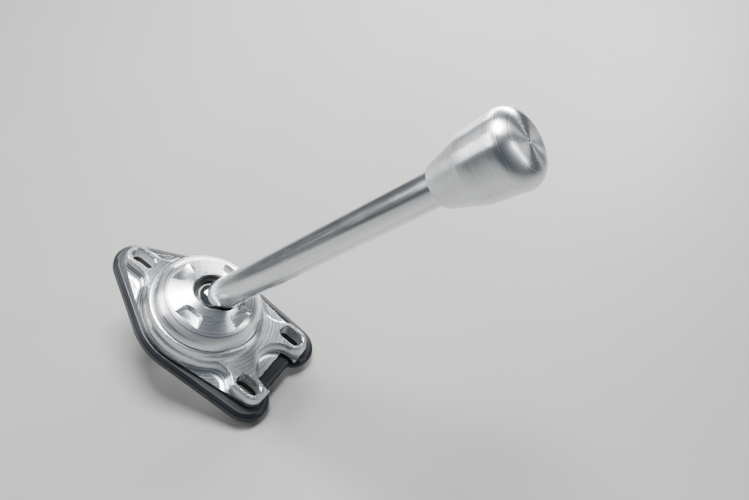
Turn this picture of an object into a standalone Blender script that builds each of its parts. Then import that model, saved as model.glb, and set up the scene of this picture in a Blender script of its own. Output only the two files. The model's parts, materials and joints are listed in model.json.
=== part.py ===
"""Gear shift lever: a billet ball-pivot housing on a black base plate, with a long lever and a turned knob.

The origin is on the pivot's vertical axis, at the underside of the base plate, with +Z up.
+X runs from the single ear towards the notch between the two ears, the way the lever leans.
The lever is modelled leaning back and across, as it stands when it is let go. All lengths are in metres.
"""

import math

import bmesh
import bpy

MM = 0.001

# Clearances
GAP = 0.3 * MM                # between pieces that touch or run on each other
SWING_GAP = 0.35 * MM         # between the moving shaft and the opening that it swings in

# Pivot ball, lean of the lever and thickness of the lever, which the rest is built round
BALL_R = 12.7 * MM
SHAFT_R = 9.525 * MM
LEAN_BACK = math.radians(23.0)       # about the cross pin, towards +X
LEAN_ACROSS = math.radians(9.0)      # about X, towards +Y
GATE_TRAVEL = math.radians(5.0)      # how far the lever swings back from that
LEAN_FORWARD = math.radians(4.0)     # how far the lever swings past upright, towards -X
LEAN_ALL = math.acos(math.cos(LEAN_BACK) * math.cos(LEAN_ACROSS))

# Lock nut under the ball, by distance below the pivot
NUT_START = BALL_R + 0.7 * MM
NUT_THICK = 4.0 * MM
NUT_FLATS = 13.0 * MM
NUT_END = NUT_START + NUT_THICK
NUT_CORNER_R = NUT_FLATS / math.sqrt(3)
NUT_REACH = NUT_END * math.sin(LEAN_ALL) + NUT_CORNER_R * math.cos(LEAN_ALL)
NUT_CLEARANCE = 1.13 * MM     # between the leaning nut and the way through the floor
NUT_TOP_REACH = NUT_START * math.sin(LEAN_ALL) + NUT_CORNER_R * math.cos(LEAN_ALL)
NUT_TOP_DROP = NUT_START * math.cos(LEAN_ALL) - NUT_CORNER_R * math.sin(LEAN_ALL)

# Heights of the fixed stack, from the underside of the base plate
BASE_THICK = 5.0 * MM
FLANGE_EDGE = 1.5 * MM        # thickness of the flange at its rim
FLOOR_THICK = 2.7 * MM        # floor that the spring washer stands on
SEAT_POCKET_DEPTH = 2.0 * MM
PAD_THICK = 8.3 * MM          # housing at the ears, where the mounting bolts bear
BOSS_RISE = 5.3 * MM          # the round boss above the ears
PIVOT_RISE = 12.4 * MM        # pivot above the floor
HOUSING_BOTTOM = BASE_THICK + GAP
FLOOR_TOP = HOUSING_BOTTOM + FLOOR_THICK
BORE_FLOOR = FLOOR_TOP + SEAT_POCKET_DEPTH
PAD_HEIGHT = HOUSING_BOTTOM + PAD_THICK
BOSS_HEIGHT = PAD_HEIGHT + BOSS_RISE
PIVOT_HEIGHT = FLOOR_TOP + PIVOT_RISE

# Inside of the housing
FLOOR_BORE_R = NUT_REACH + NUT_CLEARANCE
SEAT_R = FLOOR_BORE_R + 4.8 * MM
SEAT_ROOM_R = SEAT_R + GAP
THREAD_WALL = 10.7 * MM       # cap's skirt and thread, outside the seats
CAP_BORE_R = SEAT_ROOM_R + THREAD_WALL

# Plan of the housing
BOSS_WALL = 4.0 * MM
BOSS_TAPER = 1.7 * MM         # how much wider the boss is at the ears' level
BOSS_TOP_R = CAP_BORE_R + BOSS_WALL
BOSS_R = BOSS_TOP_R + BOSS_TAPER
FLANGE_STEP = 1.1 * MM        # how far the flange's rim stands out from the ears
FLANGE_R = BOSS_R + 1.3 * MM
EAR1_REACH = 11.85 * MM       # from the boss to the slot centre of the single ear
EAR2_REACH = 13.95 * MM       # the same along X, for the paired ears
EAR1_X = -(BOSS_R + EAR1_REACH)
EAR2_X = BOSS_R + EAR2_REACH
EAR2_Y = 23.1 * MM
SLOT_R = 4.37 * MM            # half the width of a slot, for an M8 bolt
SLOT_HALF = 3.4 * MM          # from a slot's centre to the centre of its round end
SLOT_LIP = 0.7 * MM           # chamfer round the top of a slot
SLOT_WALL = 2.76 * MM
PAD_R = SLOT_R + SLOT_WALL    # round ends of the ears, about the slots' round ends
SCALLOP_R = 12.0 * MM         # concave run between an ear and the boss
FILLET_OUT = 6.0 * MM         # spread of the concave fillet from the deck down to the flange
EDGE_BREAK = 0.4 * MM         # broken edge round the deck
NOTCH_X = EAR2_X + 7.15 * MM  # centre of the concave wall between the paired ears
LEDGE_X = EAR2_X + 1.35 * MM  # straight edge of the ledge in the notch
LEDGE_STEP = 2.6 * MM         # how far the ledge's cut stands in from the notch wall

# Plan of the base plate, which shows all round the housing
BASE_MARGIN = 4.3 * MM        # outside the flange, at the boss
BASE_R = FLANGE_R + BASE_MARGIN
BASE_EAR1_X = EAR1_X - 1.45 * MM
BASE_EAR1_R = PAD_R + 8.37 * MM
BASE_LOBE_X = EAR2_X + 2.35 * MM
BASE_LOBE_Y = EAR2_Y + 1.5 * MM
BASE_LOBE_R = PAD_R + 7.67 * MM
BASE_NOTCH_X = BASE_LOBE_X + 7.1 * MM    # straight edge between the lobes
BASE_NOTCH_R = 3.5 * MM       # concave corner between a lobe and that edge
BASE_EDGE = 0.3 * MM          # broken lower edge
BASE_SLOPE = 3.0 * MM         # width of the sloped margin
BASE_SLOPE_RISE = 1.8 * MM    # height of the sloped margin
BASE_WALL = BASE_THICK - BASE_SLOPE_RISE
BASE_BORE_R = SEAT_R
BASE_SLOT_EASE = 0.3 * MM

# Cap
CAP_LEDGE = 1.6 * MM          # of the boss's top, left bare round the cap
CAP_R = BOSS_TOP_R - CAP_LEDGE
CAP_SHOULDER_R = 12.0 * MM
CAP_SLOPE = math.radians(20)
SKIRT_BOTTOM = BORE_FLOOR + 0.4 * MM
SKIRT_R = CAP_BORE_R - GAP
OPENING_R = SHAFT_R + 2.475 * MM
OPENING_ROUND = 0.9 * MM
SEAT_SHELL = 3.2 * MM         # thickness of the upper seat where it wraps the ball
SEAT_SHELL_R = BALL_R + GAP + SEAT_SHELL
CAP_ROOM_R = SEAT_SHELL_R + GAP          # round room in the cap for the upper seat
CAP_LIP = 1.175 * MM          # straight wall of the opening, with its rounding
OPENING_LOW = PIVOT_HEIGHT + math.sqrt(CAP_ROOM_R ** 2 - OPENING_R ** 2)
RIM_HEIGHT = OPENING_LOW + CAP_LIP
POCKET_IN = 16.8 * MM         # spanner pockets: inner and outer distance from the axis
POCKET_OUT = 25.2 * MM
POCKET_HALF_IN = 5.8 * MM
POCKET_HALF_OUT = 9.8 * MM
POCKET_CORNER_R = 2.6 * MM
POCKET_DEPTH = 2.6 * MM       # height of the sloped wall round its floor
POCKET_DRAFT = 0.84           # size of its floor beside its mouth
POCKET_SINK = 0.4 * MM        # how far its floor lies below the cone at its outer edge
O_RING_SECTION_R = 0.6 * MM
O_RING_HEIGHT = SKIRT_BOTTOM + 2.2 * MM

# Seats, spring washer and cross pin
SEAT_LIP = math.radians(43.5)        # the upper seat's lip, off the upright axis
SEAT_SHOULDER = PIVOT_HEIGHT + 4.6 * MM  # height of the upper seat's shoulder
LOWER_SEAT_BOTTOM = FLOOR_TOP + 1.6 * MM
LOWER_SEAT_EDGE = math.radians(123)  # lower edge of the ball's seating, off the upright axis
SPRING_WAVES = 4
SPRING_THICK = 0.5 * MM
SPRING_IN = FLOOR_BORE_R + 0.6 * MM
PIN_R = 3.0 * MM
SLIPPER_R = PIN_R + 1.0 * MM
SLIPPER_IN = BALL_R + 0.6 * MM
SLIPPER_OUT = SLIPPER_IN + 2.3 * MM
PIN_HALF = SLIPPER_OUT + GAP
PIN_SLOT_R = PIN_HALF + GAP

# Lever, measured along its own axis from the pivot
SHAFT_RIM = 2.085 * MM        # width of the shaft's end face, round the hollow that clears the ball
SHAFT_HOLLOW_R = SHAFT_R - SHAFT_RIM
SHAFT_START = math.sqrt(BALL_R ** 2 - (SHAFT_HOLLOW_R - 2 * GAP) ** 2)
SHAFT_END = 193.0 * MM
SHAFT_ROUND = 1.0 * MM
STUD_R = 4.0 * MM
STUD_START = PIN_R + 2.3 * MM
STUD_END = SHAFT_START + 25.3 * MM
KNOB_START = SHAFT_END - 11.9 * MM
KNOB_BREAK = KNOB_START + 21.0 * MM      # ridge where the cone meets the grip
KNOB_END = KNOB_START + 50.7 * MM
KNOB_START_R = SHAFT_R + 3.175 * MM
KNOB_BREAK_R = KNOB_START_R + 6.0 * MM
KNOB_MAX_R = KNOB_BREAK_R + 1.9 * MM
KNOB_END_R = 9.0 * MM         # rounding of the end
KNOB_EDGE = 0.8 * MM
KNOB_STUD_R = 5.0 * MM
KNOB_STUD_START = SHAFT_END - 24.0 * MM
KNOB_STUD_END = SHAFT_END + 20.0 * MM
ARM_R = 5.5 * MM
ARM_SHOULDER = NUT_END + 0.4 * MM        # below the pivot, as are the arm's other places
ARM_WAIST = 4.0 * MM          # length of the cone from the bar to the tip ball
TIP_CENTRE = 56.0 * MM
TIP_BALL_R = 7.0 * MM
BUSH_R = TIP_BALL_R + 2.0 * MM
BUSH_HALF = 4.5 * MM

# Screws that hold the base plate to the housing
SCREW_R = 2.0 * MM
SCREW_HEAD_R = 3.9 * MM
SCREW_CIRCLE_R = BASE_BORE_R + SCREW_HEAD_R + 1.6 * MM
SCREW_TOP = BORE_FLOOR - 0.8 * MM
SCREW_ANGLES = (60, 180, 300)
SCREW_SINK = 0.3 * MM         # of the head below the plate's underside
SCREW_HEAD_EDGE = 0.3 * MM    # straight rim of the head
SCREW_SOCKET_FLATS = 2.4 * MM
SCREW_SOCKET_DEPTH = 1.6 * MM

SEGMENTS = 48
FINE_SEGMENTS = 72            # for the large turned shapes
FAR = 100 * MM                # cutters run this far past what they cut


# ---------------------------------------------------------------- making objects

def clear_scene():
    for obj in list(bpy.data.objects):
        bpy.data.objects.remove(obj, do_unlink=True)


def make_material(name, colour, roughness, metallic):
    material = bpy.data.materials.new(name)
    material.use_nodes = True
    shader = material.node_tree.nodes["Principled BSDF"]
    shader.inputs["Base Color"].default_value = (*colour, 1)
    shader.inputs["Roughness"].default_value = roughness
    shader.inputs["Metallic"].default_value = metallic
    return material


def add_object(name, bm, material=None, parent=None):
    """An object from a bmesh whose points are in its parent's frame."""
    bmesh.ops.recalc_face_normals(bm, faces=bm.faces)
    mesh = bpy.data.meshes.new(name)
    bm.to_mesh(mesh)
    bm.free()
    mesh.shade_smooth()
    mesh.set_sharp_from_angle(angle=math.radians(30))
    if material:
        mesh.materials.append(material)
    obj = bpy.data.objects.new(name, mesh)
    bpy.context.collection.objects.link(obj)
    obj.parent = parent
    return obj


def add_cutter(name, bm, parent=None):
    obj = add_object(name, bm, parent=parent)
    obj.hide_render = True
    obj.display_type = "WIRE"
    return obj


def combine(obj, tool, operation="DIFFERENCE"):
    modifier = obj.modifiers.new(tool.name, "BOOLEAN")
    modifier.operation = operation
    modifier.solver = "EXACT"
    modifier.object = tool


def add_axis(name, height=0.0, rotation=(0, 0, 0), parent=None):
    """An empty on a joint's axis, which carries the pieces that turn about it."""
    empty = bpy.data.objects.new(name, None)
    empty.location = (0, 0, height)
    empty.rotation_euler = rotation
    empty.parent = parent
    bpy.context.collection.objects.link(empty)
    return empty


# ---------------------------------------------------------------- shapes

def turned(profile, segments=SEGMENTS, up=1):
    """A solid turned about Z, from a closed outline of (radius, height) points; up=-1 points it down."""
    bm = bmesh.new()
    verts = [bm.verts.new((r, 0, up * z)) for r, z in profile]
    edges = [bm.edges.new(pair) for pair in zip(verts, verts[1:] + verts[:1])]
    bmesh.ops.spin(bm, geom=verts + edges, cent=(0, 0, 0), axis=(0, 0, 1),
                   angle=2 * math.pi, steps=segments, use_merge=True, use_duplicate=False)
    bmesh.ops.remove_doubles(bm, verts=bm.verts, dist=1e-6)
    return bm


def prism(outline, low, high):
    """An upright prism on a closed plan outline."""
    bm = bmesh.new()
    face = bm.faces.new([bm.verts.new((x, y, low)) for x, y in outline])
    raised = bmesh.ops.extrude_face_region(bm, geom=[face])["geom"]
    moved = [item for item in raised if isinstance(item, bmesh.types.BMVert)]
    bmesh.ops.translate(bm, verts=moved, vec=(0, 0, high - low))
    return bm


def loft(layers):
    """A closed solid through plan outlines of equal point count, given upwards as (points, height)."""
    bm = bmesh.new()
    rings = [[bm.verts.new((x, y, z)) for x, y in points] for points, z in layers]
    for low, high in zip(rings, rings[1:]):
        for i in range(len(low)):
            j = (i + 1) % len(low)
            bm.faces.new((low[i], low[j], high[j], high[i]))
    bm.faces.new(rings[0])
    bm.faces.new(rings[-1])
    return bm


def arc(centre, radius, start, end, steps):
    """Points on a circle from one angle to another, in degrees."""
    angles = [math.radians(start + (end - start) * i / steps) for i in range(steps + 1)]
    return [(centre[0] + radius * math.cos(a), centre[1] + radius * math.sin(a)) for a in angles]


def ball_arc(radius, start, end, steps, centre=0.0):
    """(radius, height) points on a ball, between two angles off the upright axis, in radians."""
    angles = [start + (end - start) * i / steps for i in range(steps + 1)]
    return [(radius * math.sin(a), centre + radius * math.cos(a)) for a in angles]


def tidy_points(points):
    """The points without those that repeat the one before, where two arcs meet."""
    kept = points[:1]
    for point in points[1:]:
        if math.dist(point, kept[-1]) > 1e-7:
            kept.append(point)
    return kept


def tangent_angle(a, b):
    """Outward direction, in degrees, of the line that touches circle a and then circle b, anticlockwise."""
    along = math.atan2(b[1] - a[1], b[0] - a[0])
    return math.degrees(along - math.acos((a[2] - b[2]) / math.dist(a[:2], b[:2])))


def circle_crossing(a, radius_a, b, radius_b):
    """Where two circles cross, at the lower Y."""
    distance = math.dist(a, b)
    along = (radius_a ** 2 - radius_b ** 2 + distance ** 2) / (2 * distance)
    aside = math.sqrt(radius_a ** 2 - along ** 2)
    ux, uy = (b[0] - a[0]) / distance, (b[1] - a[1]) / distance
    crossings = [(a[0] + along * ux + s * uy, a[1] + along * uy - s * ux) for s in (aside, -aside)]
    return min(crossings, key=lambda point: point[1])


def chain_outline(circles, first, last, steps=12):
    """The outer side of a run of circles (x, y, radius), anticlockwise, from angle first to angle last."""
    turns = [first] + [tangent_angle(a, b) for a, b in zip(circles, circles[1:])] + [last]
    points = []
    for (x, y, radius), start, end in zip(circles, turns, turns[1:]):
        end += 360 * math.ceil((start - end) / 360)
        points += arc((x, y), radius, start, end, steps)
    return tidy_points(points)


def mirrored_outline(half):
    """A closed outline from the half at -Y, whose first point (and maybe its last) is on the X axis."""
    other = [(x, -y) for x, y in reversed(half) if abs(y) > 1e-7]
    return half + other


def slot_outline(place, radius, steps=8):
    x, y = place
    ends = arc((x + SLOT_HALF, y), radius, -90, 90, steps)
    return ends + arc((x - SLOT_HALF, y), radius, 90, 270, steps)


EARS = ((EAR1_X, 0.0), (EAR2_X, EAR2_Y), (EAR2_X, -EAR2_Y))


# ---------------------------------------------------------------- base plate and housing

def notch_radius():
    """The notch wall touches the round outer ends of both paired ears."""
    return math.hypot(NOTCH_X - (EAR2_X + SLOT_HALF), EAR2_Y) - PAD_R


def flange_outline():
    """Rim of the housing's flange, with straight runs from ear to boss to ear."""
    rim = PAD_R + FLANGE_STEP
    half = chain_outline([
        (EAR1_X - SLOT_HALF, 0, rim),
        (0, 0, FLANGE_R),
        (EAR2_X + SLOT_HALF, -EAR2_Y, rim),
    ], 180, 360)
    return mirrored_outline(half)


def deck_outline(grow):
    """Outline of the raised deck of ears, boss and notch, moved outwards by grow.

    Each arc touches the next, so outlines of different grow have the same arcs and the same points.
    """
    ear1 = (EAR1_X - SLOT_HALF, 0)
    run_y = -(PAD_R + SCALLOP_R)
    run = (-math.sqrt((BOSS_R + SCALLOP_R) ** 2 - run_y ** 2), run_y)
    run_end = math.degrees(math.atan2(-run[1], -run[0]))
    inner = (EAR2_X - SLOT_HALF, -EAR2_Y)
    outer = (EAR2_X + SLOT_HALF, -EAR2_Y)
    scallop = circle_crossing((0, 0), BOSS_R + SCALLOP_R, inner, PAD_R + SCALLOP_R)
    to_boss = math.degrees(math.atan2(-scallop[1], -scallop[0]))
    to_ear = math.degrees(math.atan2(inner[1] - scallop[1], inner[0] - scallop[0]))
    to_notch = math.degrees(math.atan2(-outer[1], NOTCH_X - outer[0]))
    half = arc(ear1, PAD_R + grow, 180, 270, 8)
    half += arc(run, SCALLOP_R - grow, 90, run_end, 6)
    half += arc((0, 0), BOSS_R + grow, 180 + run_end, 180 + to_boss, 12)
    half += arc(scallop, SCALLOP_R - grow, to_boss, to_ear, 8)
    half += arc(inner, PAD_R + grow, 180 + to_ear, 270, 5)
    half += arc(outer, PAD_R + grow, -90, to_notch, 14)
    half += arc((NOTCH_X, 0), notch_radius() - grow, 180 + to_notch, 180, 10)
    return mirrored_outline(tidy_points(half))


def deck_layers():
    """The deck's wall from below the flange up: a quarter-round fillet, then a broken top edge."""
    steps = 6
    foot = HOUSING_BOTTOM + FLANGE_EDGE
    rise = PAD_HEIGHT - foot - EDGE_BREAK
    layers = [(deck_outline(FILLET_OUT), HOUSING_BOTTOM)]
    for i in range(steps + 1):
        turn = math.radians(90) * i / steps
        grow = FILLET_OUT * (1 - math.sin(turn))
        layers.append((deck_outline(grow), foot + rise * (1 - math.cos(turn))))
    layers.append((deck_outline(-EDGE_BREAK), PAD_HEIGHT))
    return layers


def notch_ledge_outline():
    """What is cut out of the flange between the paired ears, up to the ledge's straight edge."""
    radius = notch_radius() - LEDGE_STEP
    side = math.degrees(math.acos((LEDGE_X - NOTCH_X) / radius))
    lower = arc((NOTCH_X, 0), radius, -side, -90, 8) + [(FAR, -radius)]
    return lower + [(x, -y) for x, y in reversed(lower)]


def boss_profile():
    """The round boss stands in the deck, a little inside its wall, and narrows to its top."""
    inside = BOSS_R - 0.25 * MM
    return [
        (0, HOUSING_BOTTOM + 1 * MM),
        (BOSS_R - 2 * MM, HOUSING_BOTTOM + 1 * MM),
        (inside, PAD_HEIGHT - 1 * MM),
        (inside, PAD_HEIGHT + 0.2 * MM),
        (BOSS_TOP_R + 0.7 * MM, PAD_HEIGHT + 1.2 * MM),
        (BOSS_TOP_R + 0.2 * MM, PAD_HEIGHT + 2.6 * MM),
        (BOSS_TOP_R, BOSS_HEIGHT - 0.9 * MM),
        (BOSS_TOP_R - 0.3 * MM, BOSS_HEIGHT - 0.3 * MM),
        (BOSS_TOP_R - 0.9 * MM, BOSS_HEIGHT),
        (0, BOSS_HEIGHT),
    ]


def bore_profile():
    """The room inside the housing: threaded bore, seat pocket and the way through for the arm."""
    return [
        (0, 0),
        (FLOOR_BORE_R, 0),
        (FLOOR_BORE_R, FLOOR_TOP),
        (SEAT_ROOM_R, FLOOR_TOP),
        (SEAT_ROOM_R, BORE_FLOOR),
        (CAP_BORE_R, BORE_FLOOR),
        (CAP_BORE_R, FAR),
        (0, FAR),
    ]


def screw_places():
    return [arc((0, 0), SCREW_CIRCLE_R, angle, angle, 1)[0] for angle in SCREW_ANGLES]


def screw_profile(start, ease=0.0):
    """A countersunk screw, head down; ease, square to its surface, makes it the hole that it goes into."""
    cone = SCREW_SINK + SCREW_HEAD_EDGE + ease * math.tan(math.pi / 8)
    return [
        (0, start),
        (SCREW_HEAD_R + ease, start),
        (SCREW_HEAD_R + ease, cone),
        (SCREW_R + ease, cone + SCREW_HEAD_R - SCREW_R),
        (SCREW_R + ease, SCREW_TOP + ease),
        (0, SCREW_TOP + ease),
    ]


def moved(bm, place):
    bmesh.ops.translate(bm, verts=bm.verts, vec=(*place, 0))
    return bm


def make_slot_cutters(prefix, radius):
    return [add_cutter(f"{prefix}_slot_{i + 1}", prism(slot_outline(ear, radius), -FAR, FAR))
            for i, ear in enumerate(EARS)]


def make_slot_lips():
    """Chamfers round the tops of the slots in the ears."""
    cutters = []
    for i, ear in enumerate(EARS):
        layers = [(slot_outline(ear, SLOT_R - SLOT_LIP), PAD_HEIGHT - 2 * SLOT_LIP),
                  (slot_outline(ear, SLOT_R + 2 * SLOT_LIP), PAD_HEIGHT + SLOT_LIP)]
        cutters.append(add_cutter(f"slot_lip_{i + 1}", loft(layers)))
    return cutters


def base_outline(inset):
    """Outline of the base plate, moved inwards by inset, with the straight edge between its lobes."""
    lobe = (BASE_LOBE_X, -BASE_LOBE_Y)
    reach = BASE_NOTCH_X + BASE_NOTCH_R - BASE_LOBE_X
    rise = math.sqrt((BASE_LOBE_R + BASE_NOTCH_R) ** 2 - reach ** 2)
    meets = math.degrees(math.atan2(rise, reach))
    half = chain_outline([
        (BASE_EAR1_X, 0, BASE_EAR1_R - inset),
        (0, 0, BASE_R - inset),
        (*lobe, BASE_LOBE_R - inset),
    ], 180, 360 + meets)
    corner = (BASE_LOBE_X + reach, rise - BASE_LOBE_Y)
    half += arc(corner, BASE_NOTCH_R + inset, 180 + meets, 180, 5)[1:]
    return mirrored_outline(half)


def make_base_plate(material):
    layers = [
        (base_outline(BASE_EDGE), 0),
        (base_outline(0), BASE_EDGE),
        (base_outline(0), BASE_WALL),
        (base_outline(0.5 * MM), BASE_WALL + 0.55 * MM),
        (base_outline(BASE_SLOPE), BASE_THICK),
    ]
    plate = add_object("base_plate", loft(layers), material)
    combine(plate, add_cutter("base_bore", turned(bore(-FAR, FAR, BASE_BORE_R))))
    for tool in make_slot_cutters("base", SLOT_R + BASE_SLOT_EASE):
        combine(plate, tool)
    return plate


def make_housing(material):
    housing = add_object("housing", loft(deck_layers()), material)
    rim = prism(flange_outline(), 0, FAR)
    combine(housing, add_cutter("rim_limit", rim), "INTERSECT")
    combine(housing, add_cutter("boss", turned(boss_profile(), FINE_SEGMENTS)), "UNION")
    flange = prism(flange_outline(), HOUSING_BOTTOM, HOUSING_BOTTOM + FLANGE_EDGE)
    combine(housing, add_cutter("flange_slab", flange), "UNION")
    combine(housing, add_cutter("notch_ledge", prism(notch_ledge_outline(), 0, FAR)))
    combine(housing, add_cutter("housing_bore", turned(bore_profile(), FINE_SEGMENTS)))
    for tool in make_slot_cutters("housing", SLOT_R) + make_slot_lips():
        combine(housing, tool)
    return housing


def make_base_screws(material, plate, housing):
    for i, place in enumerate(screw_places()):
        hole = add_cutter(f"screw_hole_{i + 1}", moved(turned(screw_profile(-FAR, GAP), 24), place))
        combine(plate, hole)
        combine(housing, hole)
        screw = add_object(f"base_screw_{i + 1}", turned(screw_profile(SCREW_SINK), 24), material)
        screw.location = (*place, 0)
        hexagon = turned(hex_profile(SCREW_SOCKET_FLATS, -FAR, SCREW_SOCKET_DEPTH), 6)
        socket = add_cutter(f"screw_socket_{i + 1}", moved(hexagon, place))
        combine(screw, socket)


def hex_profile(flats, low, high):
    """Half-section of a hexagon bar, to be turned in six steps."""
    corner = flats / math.sqrt(3)
    return [(0, low), (corner, low), (corner, high), (0, high)]


# ---------------------------------------------------------------- cap and seats

def cap_profile():
    """Section of the cap: skirt, flange, rounded shoulder, cone, opening and the room for the upper seat."""
    flange = BOSS_HEIGHT + 0.4 * MM
    opening = (OPENING_R + OPENING_ROUND, RIM_HEIGHT)
    # where the cone line meets the wall, and the shoulder's arc between them
    corner_z = RIM_HEIGHT - (CAP_R - opening[0]) * math.tan(CAP_SLOPE)
    back = CAP_SHOULDER_R * math.tan((math.pi / 2 - CAP_SLOPE) / 2)
    centre = (CAP_R - CAP_SHOULDER_R, corner_z - back)
    shoulder = arc(centre, CAP_SHOULDER_R, 0, 90 - math.degrees(CAP_SLOPE), 10)
    shoulder = [point for point in shoulder if point[1] > flange + 0.4 * MM]
    rounding = arc((opening[0], RIM_HEIGHT - OPENING_ROUND), OPENING_ROUND, 90, 180, 4)
    shoulder_top = SEAT_SHOULDER + GAP
    room = ball_arc(CAP_ROOM_R, math.asin(OPENING_R / CAP_ROOM_R),
                    math.acos((shoulder_top - PIVOT_HEIGHT) / CAP_ROOM_R), 5, PIVOT_HEIGHT)
    return [
        *shoulder,
        *rounding,
        (OPENING_R, OPENING_LOW),
        *room[1:],
        (SEAT_ROOM_R, shoulder_top),
        (SEAT_ROOM_R, SKIRT_BOTTOM),
        (SKIRT_R, SKIRT_BOTTOM),
        *o_ring_groove(),
        (SKIRT_R, flange),
        (shoulder[0][0] - 0.3 * MM, flange),
    ]


def o_ring_groove():
    half = O_RING_SECTION_R + GAP
    depth = 2 * O_RING_SECTION_R + GAP
    return [
        (SKIRT_R, O_RING_HEIGHT - half),
        (SKIRT_R - depth, O_RING_HEIGHT - half),
        (SKIRT_R - depth, O_RING_HEIGHT + half),
        (SKIRT_R, O_RING_HEIGHT + half),
    ]


def pocket_outline():
    """Plan of the spanner pocket on +X: narrow and round towards the axis, wide and pointed outwards."""
    half = arc((POCKET_IN + POCKET_CORNER_R, -POCKET_HALF_IN + POCKET_CORNER_R), POCKET_CORNER_R, 180, 250, 4)
    half.append((POCKET_OUT - 0.6 * MM, -POCKET_HALF_OUT))
    outward = [(x, -y) for x, y in reversed(half)]
    return half + [(POCKET_OUT, -0.5 * POCKET_HALF_OUT), (POCKET_OUT, 0.5 * POCKET_HALF_OUT)] + outward


def turned_outline(points, quarter_turns):
    """The points turned about the origin by whole quarter turns."""
    for _ in range(quarter_turns):
        points = [(-y, x) for x, y in points]
    return points


def make_pockets():
    """Four pockets a quarter turn apart; their floors lie square to the axis."""
    floor = RIM_HEIGHT - (POCKET_OUT - OPENING_R) * math.tan(CAP_SLOPE) - POCKET_SINK
    cutters = []
    middle = (POCKET_IN + POCKET_OUT) / 2
    small = [(middle + (x - middle) * POCKET_DRAFT, y * POCKET_DRAFT) for x, y in pocket_outline()]
    for quarter in range(4):
        wide = turned_outline(pocket_outline(), quarter)
        narrow = turned_outline(small, quarter)
        layers = [(narrow, floor), (wide, floor + POCKET_DEPTH), (wide, FAR)]
        cutters.append(add_cutter(f"pocket_{quarter + 1}", loft(layers)))
    return cutters


def shaft_room():
    """The space that the shaft's lower end sweeps, with its clearance, as one convex body about the pivot."""
    radius = SHAFT_R + SWING_GAP
    bm = bmesh.new()
    for back in (-LEAN_FORWARD, LEAN_BACK / 2, LEAN_BACK):
        for across in (LEAN_ACROSS - GATE_TRAVEL, LEAN_ACROSS - GATE_TRAVEL / 2, LEAN_ACROSS):
            for along in (SHAFT_START - SWING_GAP, 40 * MM):
                for x, y in arc((0, 0), radius, 0, 337.5, 15):
                    px = x * math.cos(back) + along * math.sin(back)
                    pz = along * math.cos(back) - x * math.sin(back)
                    py = y * math.cos(across) + pz * math.sin(across)
                    height = pz * math.cos(across) - y * math.sin(across)
                    bm.verts.new((px, py, PIVOT_HEIGHT + height))
    hull = bmesh.ops.convex_hull(bm, input=bm.verts)
    spare = [item for item in hull["geom_interior"] if isinstance(item, bmesh.types.BMVert)]
    bmesh.ops.delete(bm, geom=spare, context="VERTS")
    return bm


def upper_seat_profile():
    inner = ball_arc(BALL_R + GAP, SEAT_LIP, math.radians(88.5), 8, PIVOT_HEIGHT)
    top = math.asin((OPENING_R - GAP / 2) / SEAT_SHELL_R)
    shoulder = math.acos((SEAT_SHOULDER - PIVOT_HEIGHT) / SEAT_SHELL_R)
    outer = ball_arc(SEAT_SHELL_R, shoulder, top, 5, PIVOT_HEIGHT)
    bottom = inner[-1][1]
    return inner + [(SEAT_R, bottom), (SEAT_R, SEAT_SHOULDER)] + outer


def lower_seat_profile():
    inner = ball_arc(BALL_R + GAP, math.radians(91.5), LOWER_SEAT_EDGE, 6, PIVOT_HEIGHT)
    return inner + [(FLOOR_BORE_R, LOWER_SEAT_BOTTOM), (SEAT_R, LOWER_SEAT_BOTTOM), (SEAT_R, inner[0][1])]


def make_pin_slots():
    """Room in both seats for the ends of the cross pin, which rise and fall as the lever leans across."""
    lift = SLIPPER_OUT * math.sin(LEAN_ACROSS) + SLIPPER_R + GAP
    half = SLIPPER_R + GAP
    cutters = []
    for side in (-1, 1):
        ends = sorted((side * (BALL_R - 2 * MM), side * PIN_SLOT_R))
        outline = [(-half, ends[0]), (half, ends[0]), (half, ends[1]), (-half, ends[1])]
        slot = prism(outline, PIVOT_HEIGHT - lift, PIVOT_HEIGHT + lift)
        cutters.append(add_cutter(f"pin_slot_{side + 2}", slot))
    return cutters


def nut_room():
    """The space under the ball that the leaning lock nut sweeps, with its clearance."""
    top = PIVOT_HEIGHT - NUT_TOP_DROP + GAP
    return turned(bore(-FAR, top, NUT_TOP_REACH + GAP))


def make_cap_and_seats(aluminium, acetal):
    cap = add_object("cap", turned(cap_profile(), FINE_SEGMENTS), aluminium)
    for tool in make_pockets():
        combine(cap, tool)
    room = add_cutter("shaft_room", shaft_room())
    combine(cap, room)
    upper = add_object("upper_ball_seat", turned(upper_seat_profile()), acetal)
    combine(upper, room)
    lower = add_object("lower_ball_seat", turned(lower_seat_profile()), acetal)
    for tool in make_pin_slots():
        combine(upper, tool)
        combine(lower, tool)
    combine(lower, add_cutter("nut_room", nut_room()))


def make_spring_washer(material):
    """A wave washer under the lower seat, which keeps the ball joint free of play."""
    low = FLOOR_TOP + GAP
    rise = LOWER_SEAT_BOTTOM - GAP - low - SPRING_THICK
    bm = bmesh.new()
    rings = []
    steps = 48
    for radius, thick in ((SPRING_IN, 0), (SEAT_R - GAP, 0), (SEAT_R - GAP, 1), (SPRING_IN, 1)):
        ring = []
        for i in range(steps):
            turn = 2 * math.pi * i / steps
            height = low + rise * (0.5 + 0.5 * math.sin(SPRING_WAVES * turn)) + thick * SPRING_THICK
            ring.append(bm.verts.new((radius * math.cos(turn), radius * math.sin(turn), height)))
        rings.append(ring)
    for a, b in zip(rings, rings[1:] + rings[:1]):
        for i in range(steps):
            j = (i + 1) % steps
            bm.faces.new((a[i], a[j], b[j], b[i]))
    return add_object("spring_washer", bm, material)


def make_o_ring(material):
    middle = SKIRT_R - O_RING_SECTION_R - 0.05 * MM
    section = arc((middle, O_RING_HEIGHT), O_RING_SECTION_R, 0, 300, 5)
    return add_object("cap_o_ring", turned(section, 48), material)


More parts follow.
